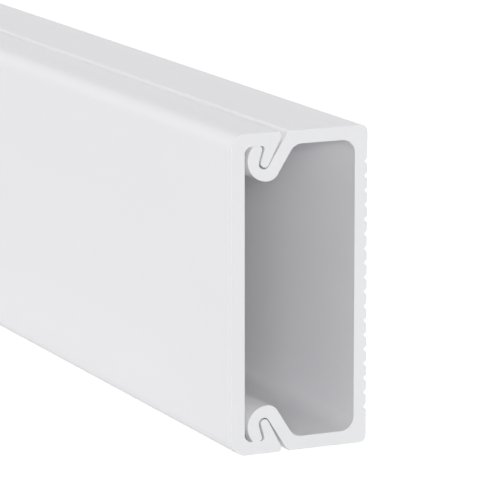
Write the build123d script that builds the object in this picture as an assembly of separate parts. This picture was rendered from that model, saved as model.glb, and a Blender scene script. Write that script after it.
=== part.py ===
"""Snap-lid cord raceway: two extruded PVC profiles that clip together, in millimetres.

Base channel: a flat, grooved back that lies against the wall, two side walls, and a hook along
the front edge of each side wall. Snap cover: a flat front, a short flange along each edge, and a
wedge-shaped tongue on each flange, which seats in the hook. The hook's toe bears flat against
the inside of the flange.

Row frame: X along the stick, +Y from the cover to the wall side, +Z up. The stick stands on its
long narrow side, and the origin is in the middle of that side's footprint.

Both sections are drawn as pairs (inward, rise): inward runs from the cover's front face to the
back, and rise runs up from the lower side face. The lower half is drawn, and the upper half is
its mirror image. A side that leans comes nearer to the front face as it rises.
"""

from build123d import *
from math import atan2, cos, degrees, radians, sin, tan
import os

# Overall size of the closed raceway
LENGTH = 400.0
WIDTH = 40.0
DEPTH = 18.35

# Cover: front wall, flanges and corners
COVER_WALL = 1.76
FLANGE_WALL = 1.65
COVER_OUTER_RADIUS = 1.90
COVER_INNER_RADIUS = 0.90
FLANGE_EDGE_RISE = 0.60
FLANGE_EDGE_SETBACK = 0.25
FLANGE_EDGE_RADIUS = 0.30

# Cover: tongue, a wedge with a round tip
TONGUE_LENGTH = 2.67
TONGUE_TIP_RADIUS = 0.53
TONGUE_FRONT_LEAN = 15.8
TONGUE_BACK_LEAN = 27.7
TONGUE_ROOT_RADIUS = 0.35

# Play of the tongue in its pocket at the tip, and how far the pocket's sides open out from it
PLAY_FRONT = 0.30
PLAY_BACK = 0.10
POCKET_FLARE_FRONT = 0.4
POCKET_FLARE_BACK = 4.5

# Base: hook round the tongue
TOE_STANDOFF = 0.22
TOE_WIDTH = 1.33
TOE_EDGE_RADIUS = 0.38
HOOK_THICKNESS = 1.60
CROWN_THICKNESS = 1.53
HEEL_RADIUS = 1.70
HOOK_ROOT_RADIUS = 1.80
SEAM_CHAMFER = 0.50

# Base: channel and its corners
BASE_WALL = 1.70
BACK_OUTER_RADIUS = 0.85
BACK_INNER_RADIUS = 1.75

# Base: V-grooves along the back
GROOVE_PITCH = 1.82
GROOVE_DEPTH = 0.39
GROOVE_MOUTH = 0.80
GROOVE_ROOT_RADIUS = 0.10
RIB_EDGE_RADIUS = 0.15
PLAIN_BORDER = 4.40


def on_lean(point, lean, rise):
    """The point at a given rise on the leaning line through another point."""
    return (point[0] - (rise - point[1]) * tan(radians(lean)), rise)


def beside(point, lean, distance):
    """The point at a distance square to a leaning line, towards the back when positive."""
    return (point[0] + distance * cos(radians(lean)), point[1] + distance * sin(radians(lean)))


def arc_between_leans(centre, radius, back_lean, front_lean):
    """A round end: the arc from a tangent leaning side at the back, over the top, to one in front."""
    return CenterArc(centre, radius, back_lean, 180 + front_lean - back_lean)


def middle():
    """The plane at middle height that both sections are mirrored about."""
    return Plane((0, WIDTH / 2, 0), z_dir=(0, 1, 0))


def toe_start():
    """Where the hook's toe begins on the inside of the flange, clear of the cover's corner."""
    return (COVER_WALL + COVER_INNER_RADIUS + TOE_STANDOFF, FLANGE_WALL)


def toe_end():
    """Where the front side of the pocket would meet the inside of the flange, unrounded."""
    return (toe_start()[0] + TOE_WIDTH, FLANGE_WALL)


def pocket():
    """Centre and radius of the pocket's round bottom, and the leans of its front and back sides."""
    radius = TONGUE_TIP_RADIUS + (PLAY_FRONT + PLAY_BACK) / 2
    front_lean = TONGUE_FRONT_LEAN - POCKET_FLARE_FRONT
    back_lean = TONGUE_BACK_LEAN + POCKET_FLARE_BACK
    rise = FLANGE_WALL + TONGUE_LENGTH - TONGUE_TIP_RADIUS
    side = on_lean(toe_end(), front_lean, rise)
    centre = (side[0] + radius / cos(radians(front_lean)), rise)
    return centre, radius, front_lean, back_lean


def tongue_tip():
    """Centre of the tongue's round tip, set off from the pocket's centre by the uneven play."""
    centre = pocket()[0]
    return (centre[0] + (PLAY_FRONT - PLAY_BACK) / 2, centre[1])


def seam_edge():
    """Where the slanted side of the seam meets the chamfer on the base's side wall."""
    centre, radius, _, back_lean = pocket()
    return on_lean(beside(centre, back_lean, radius), back_lean, SEAM_CHAMFER)


def heel_centre():
    """Centre of the hook's heel arc, which touches the back of the hook and its lowest line."""
    centre, radius, _, back_lean = pocket()
    rise = crown_rise() - HEEL_RADIUS
    back_of_hook = on_lean(beside(centre, back_lean, radius + HOOK_THICKNESS), back_lean, rise)
    return (back_of_hook[0] - HEEL_RADIUS / cos(radians(back_lean)), rise)


def crown_rise():
    """How far the hook reaches into the channel."""
    centre, radius, _, _ = pocket()
    return centre[1] + radius + CROWN_THICKNESS


def toe_arc():
    """The front of the hook: an arc from its crown round to the start of the toe."""
    start = toe_start()
    across = heel_centre()[0] - start[0]
    height = crown_rise() - start[1]
    radius = (across**2 + height**2) / (2 * height)
    centre = (heel_centre()[0], crown_rise() - radius)
    turn = 90 + degrees(atan2(centre[1] - start[1], across))
    return CenterArc(centre, radius, 90, turn)


def hook_root():
    """Where the back of the hook would meet the inside of the base's side wall, unrounded."""
    centre, radius, _, back_lean = pocket()
    return on_lean(beside(centre, back_lean, radius + HOOK_THICKNESS), back_lean, BASE_WALL)


def groove_centres():
    """Rises of the V-grooves, evenly spaced about the middle of the back."""
    span = WIDTH - 2 * PLAIN_BORDER
    gaps = int(span / GROOVE_PITCH)
    return [WIDTH / 2 + (number - gaps / 2) * GROOVE_PITCH for number in range(gaps + 1)]


def grooved_back():
    """The outside of the back, from one plain border to the other, with its row of V-grooves."""
    points = [(DEPTH, PLAIN_BORDER / 2)]
    radii = []
    for rise in groove_centres():
        points.append((DEPTH, rise - GROOVE_MOUTH / 2))
        points.append((DEPTH - GROOVE_DEPTH, rise))
        points.append((DEPTH, rise + GROOVE_MOUTH / 2))
        radii += [RIB_EDGE_RADIUS, GROOVE_ROOT_RADIUS, RIB_EDGE_RADIUS]
    points.append((DEPTH, WIDTH - PLAIN_BORDER / 2))
    return FilletPolyline(*points, radius=radii)


def cover_section():
    """Section of the snap cover."""
    tip = tongue_tip()
    tip_arc = arc_between_leans(tip, TONGUE_TIP_RADIUS, TONGUE_BACK_LEAN, TONGUE_FRONT_LEAN)
    tip_back = beside(tip, TONGUE_BACK_LEAN, TONGUE_TIP_RADIUS)
    tip_front = beside(tip, TONGUE_FRONT_LEAN, -TONGUE_TIP_RADIUS)
    flange_edge = on_lean(tip_back, TONGUE_BACK_LEAN, FLANGE_EDGE_RISE)
    outside = FilletPolyline(
        (0, WIDTH / 2),
        (0, 0),
        (flange_edge[0] - FLANGE_EDGE_SETBACK, 0),
        flange_edge,
        tip_back,
        radius=[COVER_OUTER_RADIUS, FLANGE_EDGE_RADIUS, 0],
    )
    inside = FilletPolyline(
        tip_front,
        on_lean(tip_front, TONGUE_FRONT_LEAN, FLANGE_WALL),
        (COVER_WALL, FLANGE_WALL),
        (COVER_WALL, WIDTH / 2),
        radius=[TONGUE_ROOT_RADIUS, COVER_INNER_RADIUS],
    )
    lower_half = outside + tip_arc + inside
    return make_face(lower_half + mirror(lower_half, about=middle()))


def base_section():
    """Section of the base channel."""
    centre, radius, front_lean, back_lean = pocket()
    pocket_arc = arc_between_leans(centre, radius, back_lean, front_lean)
    heel_arc = CenterArc(heel_centre(), HEEL_RADIUS, back_lean, 90 - back_lean)
    outside = FilletPolyline(
        (DEPTH, PLAIN_BORDER / 2),
        (DEPTH, 0),
        (seam_edge()[0] + SEAM_CHAMFER, 0),
        seam_edge(),
        pocket_arc @ 0,
        radius=[BACK_OUTER_RADIUS, 0, 0],
    )
    toe = FilletPolyline(pocket_arc @ 1, toe_end(), toe_start(), radius=TOE_EDGE_RADIUS)
    inside = FilletPolyline(
        heel_arc @ 0,
        hook_root(),
        (DEPTH - BASE_WALL, BASE_WALL),
        (DEPTH - BASE_WALL, WIDTH / 2),
        radius=[HOOK_ROOT_RADIUS, BACK_INNER_RADIUS],
    )
    lower_half = outside + pocket_arc + toe + toe_arc() + heel_arc + inside
    return make_face(lower_half + mirror(lower_half, about=middle()) + grooved_back())


def extrusion(section):
    """A section run along the whole stick, and stood in the row frame."""
    near_end = Plane((-LENGTH / 2, -DEPTH / 2, 0), x_dir=(0, 1, 0), z_dir=(1, 0, 0))
    return extrude(near_end * section, amount=LENGTH)


os.makedirs("parts", exist_ok=True)
export_step(extrusion(base_section()), "parts/base_channel.step")
export_step(extrusion(cover_section()), "parts/snap_cover.step")
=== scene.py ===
"""Looks of the cord cover raceway: fine meshes of its two extruded profiles, their white PVC,
a white studio and the camera.

Sections are drawn in millimetres as pairs (inward, rise): inward runs from the cover's front face
to the back, and rise runs up from the lower side face. The plastic's fine texture is sized in
millimetres too. Everything else is in metres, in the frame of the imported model: X along the stick,
+Y towards the wall side, +Z up. Angles are in degrees.
"""

from math import atan2, ceil, cos, degrees, hypot, pi, radians, sin, tan

import bmesh
import bpy
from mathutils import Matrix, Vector

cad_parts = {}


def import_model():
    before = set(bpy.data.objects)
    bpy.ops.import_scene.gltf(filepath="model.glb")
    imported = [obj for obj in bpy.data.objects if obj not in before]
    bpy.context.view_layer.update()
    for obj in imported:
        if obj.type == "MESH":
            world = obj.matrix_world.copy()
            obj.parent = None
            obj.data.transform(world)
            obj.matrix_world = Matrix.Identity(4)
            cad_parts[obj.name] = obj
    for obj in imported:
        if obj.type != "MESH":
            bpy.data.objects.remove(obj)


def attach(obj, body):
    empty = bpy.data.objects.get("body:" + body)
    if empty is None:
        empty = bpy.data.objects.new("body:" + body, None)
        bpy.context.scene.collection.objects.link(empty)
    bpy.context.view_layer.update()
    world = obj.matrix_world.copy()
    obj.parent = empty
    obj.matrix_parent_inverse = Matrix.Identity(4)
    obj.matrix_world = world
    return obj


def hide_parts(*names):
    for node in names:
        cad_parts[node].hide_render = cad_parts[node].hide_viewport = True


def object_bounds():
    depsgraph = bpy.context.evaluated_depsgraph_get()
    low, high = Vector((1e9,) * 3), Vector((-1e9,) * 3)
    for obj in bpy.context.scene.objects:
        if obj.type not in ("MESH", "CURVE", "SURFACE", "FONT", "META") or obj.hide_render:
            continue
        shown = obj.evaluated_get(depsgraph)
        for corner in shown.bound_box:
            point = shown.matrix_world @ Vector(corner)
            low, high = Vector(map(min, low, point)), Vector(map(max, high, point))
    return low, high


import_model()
cad_low, cad_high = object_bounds()

MM = 0.001
MM_PER_METRE = 1000

# Overall sizes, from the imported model
DEPTH = (cad_high.y - cad_low.y) / MM
WIDTH = (cad_high.z - cad_low.z) / MM

# Cover: front wall, flanges and corners
COVER_WALL = 1.76
FLANGE_WALL = 1.65
COVER_OUTER_RADIUS = 1.90
COVER_INNER_RADIUS = 0.90
FLANGE_EDGE_RISE = 0.60
FLANGE_EDGE_SETBACK = 0.25
FLANGE_EDGE_RADIUS = 0.30

# Cover: tongue
TONGUE_LENGTH = 2.67
TONGUE_TIP_RADIUS = 0.53
TONGUE_FRONT_LEAN = 15.8
TONGUE_BACK_LEAN = 27.7
TONGUE_ROOT_RADIUS = 0.35

# Play of the tongue in its pocket, and how far the pocket's sides open out from it
PLAY_FRONT = 0.30
PLAY_BACK = 0.10
POCKET_FLARE_FRONT = 0.4
POCKET_FLARE_BACK = 4.5

# Base: hook round the tongue
TOE_STANDOFF = 0.22
TOE_WIDTH = 1.33
TOE_EDGE_RADIUS = 0.38
HOOK_THICKNESS = 1.60
CROWN_THICKNESS = 1.53
HEEL_RADIUS = 1.70
HOOK_ROOT_RADIUS = 1.80
SEAM_CHAMFER = 0.50

# Base: channel, its corners and the V-grooves along its back
BASE_WALL = 1.70
BACK_OUTER_RADIUS = 0.85
BACK_INNER_RADIUS = 1.75
GROOVE_PITCH = 1.82
GROOVE_DEPTH = 0.39
GROOVE_MOUTH = 0.80
GROOVE_ROOT_RADIUS = 0.10
RIB_EDGE_RADIUS = 0.15
PLAIN_BORDER = 4.40

# Fineness of the meshes, and the material slots of their faces
ARC_STEP = 5.0
SAME_POINT = 1e-6
CUT_EDGE_BREAK = 0.03
SHARPEST_MITRE = 0.5
CREASE_ANGLE = 28.0
EXTRUDED_SLOT = 0
CUT_SLOT = 1

# White rigid PVC, and its fine texture
EXTRUDED_COLOR = (0.9, 0.899, 0.919)
# The cut ends' white is the PVC's own white darkened with painted shade, so that the cut end, which the
# key lamp lights more strongly than the front, renders as bright as the front.
CUT_COLOR_WITH_PAINTED_SHADE = (0.864, 0.867, 0.885)
PVC_IOR = 1.53
TONE_CHANGE = 0.006
CLOUD_SIZE = 14.0
CLOUD_STRETCH = 4.0
GRAIN_SIZE = 0.15
GRAIN_HEIGHT = 0.0008
EXTRUDED_ROUGHNESS = 0.42
CUT_ROUGHNESS = 0.6
ROUGHNESS_CHANGE = 0.04
DIE_LINE_SIZE = 0.8
DIE_LINE_STRETCH = 300.0
DIE_LINE_HEIGHT = 0.003
SAW_PITCH = 0.6
SAW_HEIGHT = 0.002
SAW_WANDER = 1.5
SAW_WANDER_SCALE = 0.2
SAW_CENTRE = (0, -30, -110)

# The wave texture's period at a scale of 1, and the range that holds most of a texture's values
WAVE_UNIT = 2 * pi / 20
TEXTURE_LOW = 0.3
TEXTURE_HIGH = 0.7

# Camera, fitted to the edges of the cut end and of the stick
IMAGE_SIDE = 500
SENSOR_WIDTH = 36.0
FOCAL_PIXELS = 3806.0
VIEW_AZIMUTH = 64.90
VIEW_ELEVATION = 11.49
AIM = Vector((0.2, -0.0067200, 0.0256900))
CAMERA_DISTANCE = 0.4618827
NEAREST_SEEN = CAMERA_DISTANCE / 10
FARTHEST_SEEN = 20.0

# Studio: white floor and sky, and soft lamps that face the near part of the stick. The floor glows
# for the camera, and floor and sky also give a little light of their own.
WHITE = (1, 1, 1, 1)
FLOOR_SIDE = 6.0
FLOOR_COLOR = (0.3, 0.3, 0.3, 1)
FLOOR_ROUGHNESS = 1.0
FLOOR_GLOW = 0.86
FLOOR_LIGHT = 0.27
SKY_LIGHT = 0.196
LIT_POINT = Vector((0.15, 0, 0.02))
LAMP_DISTANCE = 3.0


# Outline helpers


def on_lean(point, lean, rise):
    """The point at a given rise on the leaning line through another point."""
    return (point[0] - (rise - point[1]) * tan(radians(lean)), rise)


def beside(point, lean, distance):
    """The point at a distance square to a leaning line, towards the back when positive."""
    return (point[0] + distance * cos(radians(lean)), point[1] + distance * sin(radians(lean)))


def arc(centre, radius, start, turn):
    """Points along an arc, from a starting angle through a turn, both in degrees."""
    steps = max(2, ceil(abs(turn) / ARC_STEP))
    angles = [radians(start + turn * step / steps) for step in range(steps + 1)]
    return [(centre[0] + radius * cos(a), centre[1] + radius * sin(a)) for a in angles]


def round_end(centre, radius, back_lean, front_lean):
    """A round end: the arc from a tangent leaning side at the back, over the top, to one in front."""
    return arc(centre, radius, back_lean, 180 + front_lean - back_lean)


def rounded_corner(before, corner, after, radius):
    """Points of the arc that rounds a corner, or the corner itself where it is sharp."""
    if radius == 0:
        return [corner]
    to_before = Vector(before) - Vector(corner)
    to_after = Vector(after) - Vector(corner)
    half_angle = to_before.angle(to_after) / 2
    bisector = (to_before.normalized() + to_after.normalized()).normalized()
    centre = Vector(corner) + bisector * radius / sin(half_angle)
    first = Vector(corner) + to_before.normalized() * radius / tan(half_angle) - centre
    last = Vector(corner) + to_after.normalized() * radius / tan(half_angle) - centre
    start = degrees(atan2(first.y, first.x))
    turn = degrees(atan2(first.x * last.y - first.y * last.x, first.dot(last)))
    return arc(centre, radius, start, turn)


def rounded_path(points, radii):
    """A path through points, with each inner corner rounded to its own radius."""
    path = [points[0]]
    for before, corner, after, radius in zip(points, points[1:], points[2:], radii):
        path += rounded_corner(before, corner, after, radius)
    return path + [points[-1]]


def upper_half(lower_half):
    """The mirror image of the lower half of a section, in the order that closes its outline."""
    return [(inward, WIDTH - rise) for inward, rise in reversed(lower_half)]


def without_repeats(outline):
    """A closed outline without points that repeat the one before them."""
    return [
        point
        for point, before in zip(outline, outline[-1:] + outline[:-1])
        if hypot(point[0] - before[0], point[1] - before[1]) > SAME_POINT
    ]


# Where the clip's parts lie


def toe_start():
    """Where the hook's toe begins on the inside of the flange, clear of the cover's corner."""
    return (COVER_WALL + COVER_INNER_RADIUS + TOE_STANDOFF, FLANGE_WALL)


def toe_end():
    """Where the front side of the pocket would meet the inside of the flange, unrounded."""
    return (toe_start()[0] + TOE_WIDTH, FLANGE_WALL)


def pocket():
    """Centre and radius of the pocket's round bottom, and the leans of its front and back sides."""
    radius = TONGUE_TIP_RADIUS + (PLAY_FRONT + PLAY_BACK) / 2
    front_lean = TONGUE_FRONT_LEAN - POCKET_FLARE_FRONT
    back_lean = TONGUE_BACK_LEAN + POCKET_FLARE_BACK
    rise = FLANGE_WALL + TONGUE_LENGTH - TONGUE_TIP_RADIUS
    side = on_lean(toe_end(), front_lean, rise)
    centre = (side[0] + radius / cos(radians(front_lean)), rise)
    return centre, radius, front_lean, back_lean


def tongue_tip():
    """Centre of the tongue's round tip, set off from the pocket's centre by the uneven play."""
    centre = pocket()[0]
    return (centre[0] + (PLAY_FRONT - PLAY_BACK) / 2, centre[1])


def seam_edge():
    """Where the slanted side of the seam meets the chamfer on the base's side wall."""
    centre, radius, _, back_lean = pocket()
    return on_lean(beside(centre, back_lean, radius), back_lean, SEAM_CHAMFER)


def crown_rise():
    """How far the hook reaches into the channel."""
    centre, radius, _, _ = pocket()
    return centre[1] + radius + CROWN_THICKNESS


def back_of_hook(rise):
    """The point at a given rise on the hook's leaning back."""
    centre, radius, _, back_lean = pocket()
    return on_lean(beside(centre, back_lean, radius + HOOK_THICKNESS), back_lean, rise)


def heel_centre():
    """Centre of the hook's heel arc, which touches the back of the hook and its lowest line."""
    rise = crown_rise() - HEEL_RADIUS
    back_lean = pocket()[3]
    return (back_of_hook(rise)[0] - HEEL_RADIUS / cos(radians(back_lean)), rise)


def toe_arc():
    """The front of the hook: an arc from its crown round to the start of the toe."""
    start = toe_start()
    across = heel_centre()[0] - start[0]
    height = crown_rise() - start[1]
    radius = (across**2 + height**2) / (2 * height)
    centre = (heel_centre()[0], crown_rise() - radius)
    turn = 90 + degrees(atan2(centre[1] - start[1], across))
    return arc(centre, radius, 90, turn)


# Outlines of the two sections


def grooved_back():
    """The outside of the back, from one plain border to the other, with its row of V-grooves."""
    gaps = int((WIDTH - 2 * PLAIN_BORDER) / GROOVE_PITCH)
    points = [(DEPTH, PLAIN_BORDER / 2)]
    for number in range(gaps + 1):
        rise = WIDTH / 2 + (number - gaps / 2) * GROOVE_PITCH
        points.append((DEPTH, rise - GROOVE_MOUTH / 2))
        points.append((DEPTH - GROOVE_DEPTH, rise))
        points.append((DEPTH, rise + GROOVE_MOUTH / 2))
    points.append((DEPTH, WIDTH - PLAIN_BORDER / 2))
    return rounded_path(points, [RIB_EDGE_RADIUS, GROOVE_ROOT_RADIUS, RIB_EDGE_RADIUS] * (gaps + 1))


def cover_outline():
    """Closed outline of the snap cover's section."""
    tip = tongue_tip()
    tip_back = beside(tip, TONGUE_BACK_LEAN, TONGUE_TIP_RADIUS)
    tip_front = beside(tip, TONGUE_FRONT_LEAN, -TONGUE_TIP_RADIUS)
    flange_edge = on_lean(tip_back, TONGUE_BACK_LEAN, FLANGE_EDGE_RISE)
    outside = rounded_path(
        [
            (0, WIDTH / 2),
            (0, 0),
            (flange_edge[0] - FLANGE_EDGE_SETBACK, 0),
            flange_edge,
            tip_back,
        ],
        [COVER_OUTER_RADIUS, FLANGE_EDGE_RADIUS, 0],
    )
    inside = rounded_path(
        [
            tip_front,
            on_lean(tip_front, TONGUE_FRONT_LEAN, FLANGE_WALL),
            (COVER_WALL, FLANGE_WALL),
            (COVER_WALL, WIDTH / 2),
        ],
        [TONGUE_ROOT_RADIUS, COVER_INNER_RADIUS],
    )
    tip_arc = round_end(tip, TONGUE_TIP_RADIUS, TONGUE_BACK_LEAN, TONGUE_FRONT_LEAN)
    lower_half = outside + tip_arc + inside
    return without_repeats(lower_half + upper_half(lower_half))


def base_outline():
    """Closed outline of the base channel's section."""
    centre, radius, front_lean, back_lean = pocket()
    pocket_arc = round_end(centre, radius, back_lean, front_lean)
    heel_arc = arc(heel_centre(), HEEL_RADIUS, 90, back_lean - 90)
    outside = rounded_path(
        [
            (DEPTH, PLAIN_BORDER / 2),
            (DEPTH, 0),
            (seam_edge()[0] + SEAM_CHAMFER, 0),
            seam_edge(),
            pocket_arc[0],
        ],
        [BACK_OUTER_RADIUS, 0, 0],
    )
    toe = rounded_path([pocket_arc[-1], toe_end(), toe_start()], [TOE_EDGE_RADIUS])
    inside = rounded_path(
        [
            heel_arc[-1],
            back_of_hook(BASE_WALL),
            (DEPTH - BASE_WALL, BASE_WALL),
            (DEPTH - BASE_WALL, WIDTH / 2),
        ],
        [HOOK_ROOT_RADIUS, BACK_INNER_RADIUS],
    )
    front_of_hook = toe_arc()[::-1]
    lower_half = outside + pocket_arc + toe + front_of_hook + heel_arc + inside
    return without_repeats(lower_half + upper_half(lower_half) + grooved_back()[::-1])


# Meshes


def inset(outline, distance):
    """The outline moved into the material by a small distance."""
    moved = []
    count = len(outline)
    for number, point in enumerate(outline):
        before = Vector(outline[number - 1])
        after = Vector(outline[(number + 1) % count])
        here = Vector(point)
        first = (here - before).normalized()
        second = (after - here).normalized()
        normal = Vector((-first.y - second.y, first.x + second.x)).normalized()
        stretch = max(SHARPEST_MITRE, normal.dot(Vector((-first.y, first.x))))
        moved.append(here + normal * distance / stretch)
    return moved


def signed_area(outline):
    """Area of a closed outline, positive when it runs anticlockwise."""
    pairs = zip(outline, outline[1:] + outline[:1])
    return sum(a[0] * b[1] - a[1] * b[0] for a, b in pairs) / 2


def ring(mesh, outline, along):
    """Vertices of an outline placed at a distance along the stick."""
    return [
        mesh.verts.new((along, cad_low.y + inward * MM, cad_low.z + rise * MM))
        for inward, rise in outline
    ]


def extruded_profile(name, outline, node, materials):
    """A fine mesh of an extruded profile, with its cut edges lightly broken, that stands for a node."""
    if signed_area(outline) < 0:
        outline = outline[::-1]
    cut_outline = inset(outline, CUT_EDGE_BREAK)
    edge_break = CUT_EDGE_BREAK * MM
    mesh = bmesh.new()
    rings = [
        ring(mesh, cut_outline, cad_low.x),
        ring(mesh, outline, cad_low.x + edge_break),
        ring(mesh, outline, cad_high.x - edge_break),
        ring(mesh, cut_outline, cad_high.x),
    ]
    for near, far, slot in zip(rings, rings[1:], (CUT_SLOT, EXTRUDED_SLOT, CUT_SLOT)):
        for a, b, c, d in zip(near, near[1:] + near[:1], far[1:] + far[:1], far):
            face = mesh.faces.new((a, b, c, d))
            face.material_index = slot
            face.smooth = slot == EXTRUDED_SLOT
    ends = [mesh.faces.new(rings[0][::-1]), mesh.faces.new(rings[-1])]
    for end in ends:
        end.material_index = CUT_SLOT
    bmesh.ops.recalc_face_normals(mesh, faces=mesh.faces)
    bmesh.ops.triangulate(mesh, faces=ends)
    data = bpy.data.meshes.new(name)
    mesh.to_mesh(data)
    mesh.free()
    data.set_sharp_from_angle(angle=radians(CREASE_ANGLE))
    for material in materials:
        data.materials.append(material)
    piece = bpy.data.objects.new(name, data)
    bpy.context.scene.collection.objects.link(piece)
    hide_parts(node)
    return piece


# Materials


def new_node(tree, kind, **values):
    """A new node with values set on its named inputs."""
    node = tree.nodes.new(kind)
    for name, value in values.items():
        node.inputs[name.replace("_", " ")].default_value = value
    return node


def place(tree, stretch=1.0, centre=(0, 0, 0)):
    """Coordinates on the object, counted from a centre, and drawn out along the stick by a stretch."""
    source = tree.nodes.new("ShaderNodeTexCoord")
    shift = [-distance * MM for distance in centre]
    mapping = new_node(tree, "ShaderNodeMapping", Location=shift, Scale=(1 / stretch, 1, 1))
    tree.links.new(source.outputs["Object"], mapping.inputs["Vector"])
    return mapping.outputs["Vector"]


def noise(tree, size, stretch=1.0):
    """Soft noise of a given feature size, drawn out along the stick by a stretch."""
    texture = new_node(tree, "ShaderNodeTexNoise", Scale=MM_PER_METRE / size)
    tree.links.new(place(tree, stretch), texture.inputs["Vector"])
    return texture.outputs["Fac"]


def saw_marks(tree):
    """The shallow arcs that a round saw blade leaves across a cut end."""
    per_metre = MM_PER_METRE * WAVE_UNIT / SAW_PITCH
    texture = new_node(
        tree,
        "ShaderNodeTexWave",
        Scale=per_metre,
        Distortion=SAW_WANDER,
        Detail_Scale=SAW_WANDER_SCALE,
    )
    texture.wave_type = "RINGS"
    texture.rings_direction = "X"
    tree.links.new(place(tree, centre=SAW_CENTRE), texture.inputs["Vector"])
    return texture.outputs["Fac"]


def spread(tree, factor, low, high):
    """A number that follows a texture, from low to high over the middle of the texture's range."""
    span = new_node(
        tree,
        "ShaderNodeMapRange",
        From_Min=TEXTURE_LOW,
        From_Max=TEXTURE_HIGH,
        To_Min=low,
        To_Max=high,
    )
    tree.links.new(factor, span.inputs["Value"])
    return span.outputs["Result"]


def tone(tree, factor, color, change):
    """A colour that follows a texture, from a little darker than the given one to a little lighter."""
    darker = [channel * (1 - change) for channel in color] + [1]
    lighter = [channel * (1 + change) for channel in color] + [1]
    mix = tree.nodes.new("ShaderNodeMix")
    mix.data_type = "RGBA"
    a_color, b_color = [socket for socket in mix.inputs if socket.enabled and socket.name in "AB"]
    a_color.default_value = darker
    b_color.default_value = lighter
    tree.links.new(spread(tree, factor, 0, 1), mix.inputs["Factor"])
    return next(socket for socket in mix.outputs if socket.enabled)


def relief(tree, layers):
    """A surface normal from several textures, each with the height of its relief in millimetres."""
    normal = None
    for texture, height in layers:
        bump = new_node(tree, "ShaderNodeBump", Distance=height * MM)
        tree.links.new(texture, bump.inputs["Height"])
        if normal:
            tree.links.new(normal, bump.inputs["Normal"])
        normal = bump.outputs["Normal"]
    return normal


def white_pvc(name, color, roughness, marks, marks_height):
    """White rigid PVC: the marks of its making over a fine grain, with faint clouds of tone."""
    material = bpy.data.materials.new(name)
    material.use_nodes = True
    tree = material.node_tree
    shader = tree.nodes["Principled BSDF"]
    shader.inputs["IOR"].default_value = PVC_IOR
    lines = marks(tree)
    clouds = noise(tree, CLOUD_SIZE, CLOUD_STRETCH)
    grain = noise(tree, GRAIN_SIZE)
    tree.links.new(tone(tree, clouds, color, TONE_CHANGE), shader.inputs["Base Color"])
    rough = spread(tree, lines, roughness - ROUGHNESS_CHANGE, roughness + ROUGHNESS_CHANGE)
    tree.links.new(rough, shader.inputs["Roughness"])
    layers = [(lines, marks_height), (grain, GRAIN_HEIGHT)]
    tree.links.new(relief(tree, layers), shader.inputs["Normal"])
    return material


def die_lines(tree):
    """The faint lines that the extrusion die draws along the stick."""
    return noise(tree, DIE_LINE_SIZE, DIE_LINE_STRETCH)


# Pieces

extruded_face = white_pvc(
    "pvc_extruded", EXTRUDED_COLOR, EXTRUDED_ROUGHNESS, die_lines, DIE_LINE_HEIGHT
)
# The cut ends take the PVC white darkened with painted shade.
cut_face = white_pvc("pvc_cut", CUT_COLOR_WITH_PAINTED_SHADE, CUT_ROUGHNESS, saw_marks, SAW_HEIGHT)
base = extruded_profile("base_profile", base_outline(), "base_channel", [extruded_face, cut_face])
cover = extruded_profile("cover_profile", cover_outline(), "snap_cover", [extruded_face, cut_face])
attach(base, "base")
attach(cover, "cover")


# Studio


def seen_directly(tree):
    """A shader socket that is 1 for rays from the camera, mirrored or refracted rays, and else 0."""
    path = tree.nodes.new("ShaderNodeLightPath")
    socket = path.outputs["Is Camera Ray"]
    for kind in ("Is Glossy Ray", "Is Transmission Ray"):
        either = tree.nodes.new("ShaderNodeMath")
        either.operation = "MAXIMUM"
        tree.links.new(socket, either.inputs[0])
        tree.links.new(path.outputs[kind], either.inputs[1])
        socket = either.outputs[0]
    return socket


def floor():
    """The white surface that the stick stands on. It glows for the camera, and lights from below."""
    bpy.ops.mesh.primitive_plane_add(size=FLOOR_SIDE, location=(0, 0, cad_low.z))
    plane = bpy.context.object
    plane.name = "floor"
    material = bpy.data.materials.new("floor_white")
    material.use_nodes = True
    tree = material.node_tree
    shader = tree.nodes["Principled BSDF"]
    shader.inputs["Base Color"].default_value = FLOOR_COLOR
    shader.inputs["Roughness"].default_value = FLOOR_ROUGHNESS
    shader.inputs["Emission Color"].default_value = WHITE
    glow = tree.nodes.new("ShaderNodeMath")
    glow.operation = "MULTIPLY_ADD"
    glow.inputs[1].default_value = FLOOR_GLOW - FLOOR_LIGHT
    glow.inputs[2].default_value = FLOOR_LIGHT
    tree.links.new(seen_directly(tree), glow.inputs[0])
    tree.links.new(glow.outputs[0], shader.inputs["Emission Strength"])
    plane.data.materials.append(material)


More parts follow.
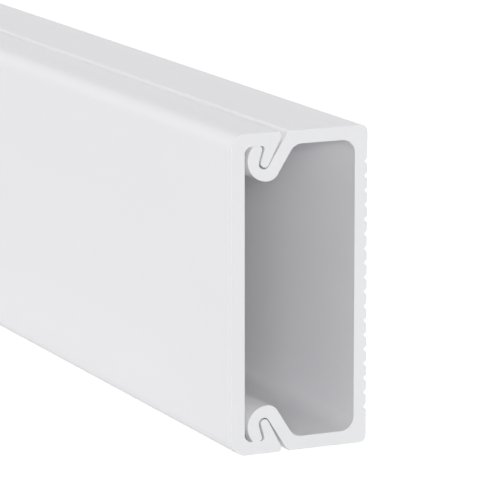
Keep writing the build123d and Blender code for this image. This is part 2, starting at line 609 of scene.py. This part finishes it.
def world():
    """A soft sky that shows as plain white."""
    sky = bpy.data.worlds.new("studio")
    bpy.context.scene.world = sky
    sky.use_nodes = True
    background = sky.node_tree.nodes["Background"]
    background.inputs["Color"].default_value = WHITE
    strength = sky.node_tree.nodes.new("ShaderNodeMath")
    strength.operation = "MAXIMUM"
    strength.inputs[1].default_value = SKY_LIGHT
    sky.node_tree.links.new(seen_directly(sky.node_tree), strength.inputs[0])
    sky.node_tree.links.new(strength.outputs[0], background.inputs["Strength"])


def direction(azimuth, elevation):
    """Unit vector from the object towards a place round it. Azimuth 0 is in front, 90 at the cut end."""
    azimuth = radians(azimuth)
    elevation = radians(elevation)
    return Vector(
        (sin(azimuth) * cos(elevation), -cos(azimuth) * cos(elevation), sin(elevation))
    )


def softbox(name, azimuth, elevation, width, power):
    """A round soft lamp that faces the near part of the stick."""
    back = direction(azimuth, elevation)
    data = bpy.data.lights.new(name, "AREA")
    data.shape = "DISK"
    data.size = width
    data.energy = power
    lamp = bpy.data.objects.new(name, data)
    lamp.location = LIT_POINT + back * LAMP_DISTANCE
    lamp.rotation_mode = "QUATERNION"
    lamp.rotation_quaternion = back.to_track_quat("Z", "Y")
    bpy.context.scene.collection.objects.link(lamp)


def camera():
    """The photograph's viewpoint."""
    back = direction(VIEW_AZIMUTH, VIEW_ELEVATION)
    data = bpy.data.cameras.new("camera")
    data.sensor_width = SENSOR_WIDTH
    data.lens = SENSOR_WIDTH * FOCAL_PIXELS / IMAGE_SIDE
    data.clip_start = NEAREST_SEEN
    data.clip_end = FARTHEST_SEEN
    viewer = bpy.data.objects.new("camera", data)
    viewer.location = AIM + back * CAMERA_DISTANCE
    viewer.rotation_mode = "QUATERNION"
    viewer.rotation_quaternion = back.to_track_quat("Z", "Y")
    bpy.context.scene.collection.objects.link(viewer)
    bpy.context.scene.camera = viewer


floor()
world()
softbox("key", azimuth=69, elevation=11, width=0.54, power=44.5)
softbox("fill", azimuth=58, elevation=11, width=0.6, power=6.6)
softbox("front", azimuth=-26, elevation=12, width=1.6, power=28.3)
softbox("rear", azimuth=210, elevation=12, width=2.0, power=46.0)
softbox("top", azimuth=0, elevation=88, width=2.0, power=22.3)
camera()
bpy.context.scene.view_settings.view_transform = "Standard"
